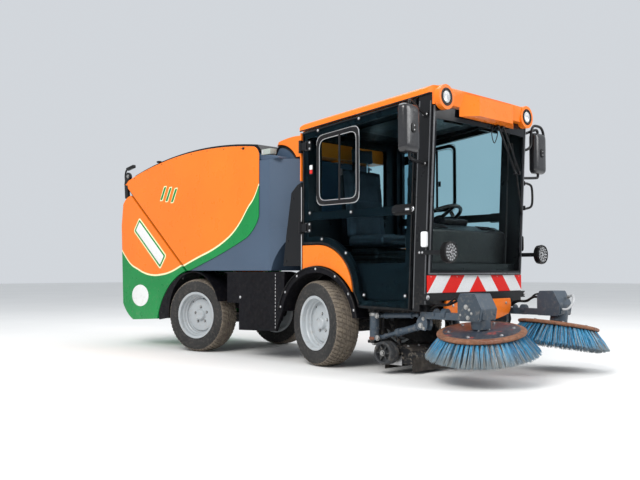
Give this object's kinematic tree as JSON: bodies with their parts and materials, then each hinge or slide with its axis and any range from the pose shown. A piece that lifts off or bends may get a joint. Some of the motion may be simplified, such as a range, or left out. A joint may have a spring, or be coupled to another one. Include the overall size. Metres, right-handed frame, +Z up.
{
  "type": "compact road sweeper",
  "caption": "Small road sweeper with a glazed cab, tipping hopper, four steered wheels, suction head and two front brushes on swinging arms.",
  "frame": {"origin": "middle of the sweeper's length and width, on the ground", "axes": "+X forward, +Y to the driver's left, +Z up"},
  "size_m": [4.6046, 1.768, 1.9689],
  "materials": {
    "frame_black": "satin black paint",
    "battery_grey": "matt",
    "skirt_black": "moulded black plastic",
    "body_green": "gloss paint",
    "steel": "machined steel",
    "hopper_slate": "satin paint",
    "body_orange": "gloss paint",
    "cab_black": "satin paint",
    "glass_tint": "tinted",
    "door_glass": "dark tinted",
    "seat_fabric": "woven",
    "lamp_clear": "clear lens",
    "mirror_black": "moulded",
    "wiper_black": "moulded",
    "chevron": "red and white bands",
    "hose_black": "ribbed rubber",
    "support_rubber": "solid rubber",
    "lid_black": "satin paint",
    "rim_silver": "silver paint",
    "tyre": "worn tread",
    "arm_blue": "satin paint",
    "bristle_blue": "plastic bristles"
  },
  "bodies": {
    "chassis": {"chassis_frame": "frame_black", "battery_block": "battery_grey", "side_skirts": "skirt_black", "rear_body": "body_green", "axles": "frame_black", "fenders": "skirt_black", "gussets": "cab_black", "cab_shell": "cab_black", "cab_roof": "body_orange", "cab_glass": "glass_tint", "cab_trim": "body_orange", "cab_interior": "seat_fabric", "lamps": "lamp_clear", "mirrors": "mirror_black", "wipers": "wiper_black", "chevron_board": "chevron", "suction_head": "frame_black", "suction_duct": "hose_black"},
    "support_right": {"support_wheel_right": "support_rubber"},
    "support_left": {"support_wheel_left": "support_rubber"},
    "hopper": {"hopper_shell": "hopper_slate", "hopper_side_panels": "body_orange", "hopper_hood": "body_orange"},
    "lid": {"hopper_lid": "lid_black"},
    "tip_cylinders": {"tip_barrels": "frame_black"},
    "tip_pistons": {"tip_rods": "steel"},
    "steer_front_right": {"knuckle_front_right": "frame_black"},
    "wheel_front_right": {"rim_front_right": "rim_silver", "tyre_front_right": "tyre"},
    "steer_front_left": {"knuckle_front_left": "frame_black"},
    "wheel_front_left": {"rim_front_left": "rim_silver", "tyre_front_left": "tyre"},
    "steer_rear_right": {"knuckle_rear_right": "frame_black"},
    "wheel_rear_right": {"rim_rear_right": "rim_silver", "tyre_rear_right": "tyre"},
    "steer_rear_left": {"knuckle_rear_left": "frame_black"},
    "wheel_rear_left": {"rim_rear_left": "rim_silver", "tyre_rear_left": "tyre"},
    "door_right": {"door_frame_right": "cab_black", "door_pane_right": "door_glass"},
    "swing_right": {"brush_post_right": "arm_blue"},
    "boom_right": {"brush_arm_right": "arm_blue"},
    "link_right": {"brush_strut_right": "steel"},
    "broom_right": {"brush_disc_right": "arm_blue", "brush_bristles_right": "bristle_blue"},
    "door_left": {"door_frame_left": "cab_black", "door_pane_left": "door_glass"},
    "swing_left": {"brush_post_left": "arm_blue"},
    "boom_left": {"brush_arm_left": "arm_blue"},
    "link_left": {"brush_strut_left": "steel"},
    "broom_left": {"brush_disc_left": "arm_blue", "brush_bristles_left": "bristle_blue"}
  },
  "joints": [
    {"name": "hopper_tip", "type": "hinge", "parent": "chassis", "child": "hopper", "pos_m": [-2.26595, 0, 1.55188], "axis": [0, -1, 0], "range_deg": [0, 85]},
    {"name": "lid_hinge", "type": "hinge", "parent": "hopper", "child": "lid", "pos_m": [-2.18199, 0, 1.672], "axis": [0, -1, 0], "range_deg": [0, 70]},
    {"name": "tip_barrel_swing", "type": "hinge", "parent": "chassis", "child": "tip_cylinders", "pos_m": [-2.06199, 0, 0.52], "axis": [0, -1, 0], "range_deg": [-0.2, 3.76]},
    {"name": "tip_rod_slide", "type": "slide", "parent": "tip_cylinders", "child": "tip_pistons", "axis": [0.1118, 0, 0.9937], "range_m": [0, 0.5117]},
    {"name": "steer_front_right", "type": "hinge", "parent": "chassis", "child": "steer_front_right", "pos_m": [0.53801, -0.425, 0.326], "axis": [0, 0, 1], "range_deg": [-16, 40]},
    {"name": "spin_front_right", "type": "hinge", "parent": "steer_front_right", "child": "wheel_front_right", "pos_m": [0.52449, -0.48858, 0.326], "axis": [0.2079, 0.9781, 0], "continuous": true},
    {"name": "steer_front_left", "type": "hinge", "parent": "chassis", "child": "steer_front_left", "pos_m": [0.53801, 0.425, 0.326], "axis": [0, 0, 1], "range_deg": [-16.01, 40.01]},
    {"name": "spin_front_left", "type": "hinge", "parent": "steer_front_left", "child": "wheel_front_left", "pos_m": [0.55152, 0.48858, 0.326], "axis": [0.2079, 0.9781, 0], "continuous": true},
    {"name": "steer_rear_right", "type": "hinge", "parent": "chassis", "child": "steer_rear_right", "pos_m": [-1.06199, -0.425, 0.326], "axis": [0, 0, 1], "range_deg": [-43.34, 17.34]},
    {"name": "spin_rear_right", "type": "hinge", "parent": "steer_rear_right", "child": "wheel_rear_right", "pos_m": [-1.04737, -0.48833, 0.326], "axis": [-0.225, 0.9744, 0], "continuous": true},
    {"name": "steer_rear_left", "type": "hinge", "parent": "chassis", "child": "steer_rear_left", "pos_m": [-1.06199, 0.425, 0.326], "axis": [0, 0, 1], "range_deg": [-43.34, 17.34]},
    {"name": "spin_rear_left", "type": "hinge", "parent": "steer_rear_left", "child": "wheel_rear_left", "pos_m": [-1.07662, 0.48833, 0.326], "axis": [-0.225, 0.9744, 0], "continuous": true},
    {"name": "door_right", "type": "hinge", "parent": "chassis", "child": "door_right", "pos_m": [0.36201, -0.602, 1.37], "axis": [0, 0, -1], "range_deg": [0, 75]},
    {"name": "brush_swing_right", "type": "hinge", "parent": "chassis", "child": "swing_right", "pos_m": [1.02801, -0.49, 0.33], "axis": [0, 0, -1], "range_deg": [-5, 20]},
    {"name": "brush_lift_right", "type": "hinge", "parent": "swing_right", "child": "boom_right", "pos_m": [1.08301, -0.49, 0.245], "axis": [0, -1, 0], "range_deg": [-5.5, 0]},
    {"name": "brush_strut_right", "type": "hinge", "parent": "swing_right", "child": "link_right", "pos_m": [1.07801, -0.49, 0.402], "axis": [0, -1, 0], "range_deg": [-5.48, 0.05]},
    {"name": "brush_spin_right", "type": "hinge", "parent": "boom_right", "child": "broom_right", "pos_m": [1.93801, -0.49, 0.344], "axis": [0.0464, -0.1549, 0.9868], "continuous": true},
    {"name": "support_spin_right", "type": "hinge", "parent": "chassis", "child": "support_right", "pos_m": [1.18801, -0.545, 0.15], "axis": [0, 1, 0], "continuous": true},
    {"name": "door_left", "type": "hinge", "parent": "chassis", "child": "door_left", "pos_m": [0.36201, 0.602, 1.37], "axis": [0, 0, 1], "range_deg": [0, 75]},
    {"name": "brush_swing_left", "type": "hinge", "parent": "chassis", "child": "swing_left", "pos_m": [1.02801, 0.49, 0.33], "axis": [0, 0, 1], "range_deg": [-5, 20]},
    {"name": "brush_lift_left", "type": "hinge", "parent": "swing_left", "child": "boom_left", "pos_m": [1.08301, 0.49, 0.245], "axis": [0, -1, 0], "range_deg": [-5.5, 0]},
    {"name": "brush_strut_left", "type": "hinge", "parent": "swing_left", "child": "link_left", "pos_m": [1.07801, 0.49, 0.402], "axis": [0, -1, 0], "range_deg": [-5.48, 0.05]},
    {"name": "brush_spin_left", "type": "hinge", "parent": "boom_left", "child": "broom_left", "pos_m": [1.93801, 0.49, 0.344], "axis": [0.0464, 0.1549, 0.9868], "continuous": true},
    {"name": "support_spin_left", "type": "hinge", "parent": "chassis", "child": "support_left", "pos_m": [1.18801, 0.545, 0.15], "axis": [0, 1, 0], "continuous": true}
  ],
  "couplings": [
    {"joint": "tip_barrel_swing", "follows": "hopper_tip", "ratio": 0.041887},
    {"joint": "tip_rod_slide", "follows": "hopper_tip", "m_per_rad": 0.34456},
    {"joint": "steer_front_left", "follows": "steer_front_right", "ratio": 1},
    {"joint": "steer_rear_right", "follows": "steer_front_right", "ratio": -1.0833},
    {"joint": "steer_rear_left", "follows": "steer_front_right", "ratio": -1.0833},
    {"joint": "brush_strut_right", "follows": "brush_lift_right", "ratio": 0.98739},
    {"joint": "brush_strut_left", "follows": "brush_lift_left", "ratio": 0.98739}
  ]
}
